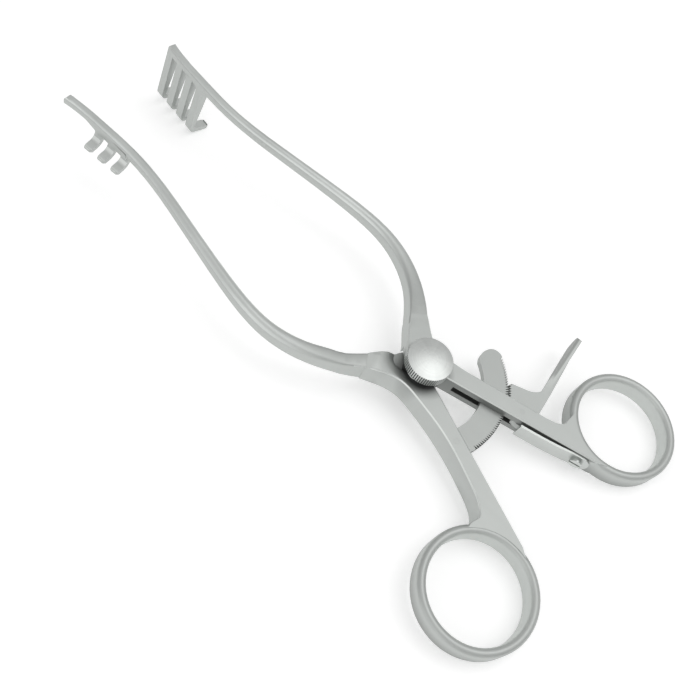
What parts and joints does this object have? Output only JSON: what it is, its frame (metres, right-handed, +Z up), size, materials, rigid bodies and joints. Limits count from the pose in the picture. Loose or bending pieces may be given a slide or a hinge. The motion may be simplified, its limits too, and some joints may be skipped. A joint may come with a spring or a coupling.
{
  "type": "self retaining retractor",
  "caption": "Ring-handled self retaining surgical retractor: two pronged arms on a knurled pivot screw, held open by a toothed arc, with a sprung release lever.",
  "frame": {"origin": "on the pivot axis, at the flat underside of the hub", "axes": "+Y along the instrument towards the pronged tips, +X towards the arm with the release lever, +Z up along the pivot axis to the thumb screw's head"},
  "size_m": [0.1076, 0.2056, 0.0313],
  "materials": {
    "satin_steel": "satin bead-blasted stainless steel"
  },
  "bodies": {
    "left": {"left_arm": "satin_steel", "ratchet_arc": "satin_steel", "ratchet_rivet": "satin_steel"},
    "right": {"right_arm": "satin_steel", "lever_pin": "satin_steel", "leaf_spring": "satin_steel", "spring_screw": "satin_steel"},
    "lever": {"release_lever": "satin_steel"},
    "screw": {"pivot_screw": "satin_steel"}
  },
  "joints": [
    {"name": "arm_pivot", "type": "hinge", "parent": "left", "child": "right", "pos_m": [0, 0, 0.00375], "axis": [0, 0, 1], "range_deg": [-30, 14]},
    {"name": "lever_pivot", "type": "hinge", "parent": "right", "child": "lever", "pos_m": [0.01317, -0.0288, 0.0037], "axis": [0, 0, 1], "range_deg": [-9, 0], "stiffness_Nm_per_rad": 0.3, "springref_deg": 8.59, "deforming": ["leaf_spring"]},
    {"name": "knob_turn", "type": "hinge", "parent": "left", "child": "screw", "pos_m": [0, 0, 0.0075], "axis": [0, 0, 1], "continuous": true}
  ]
}
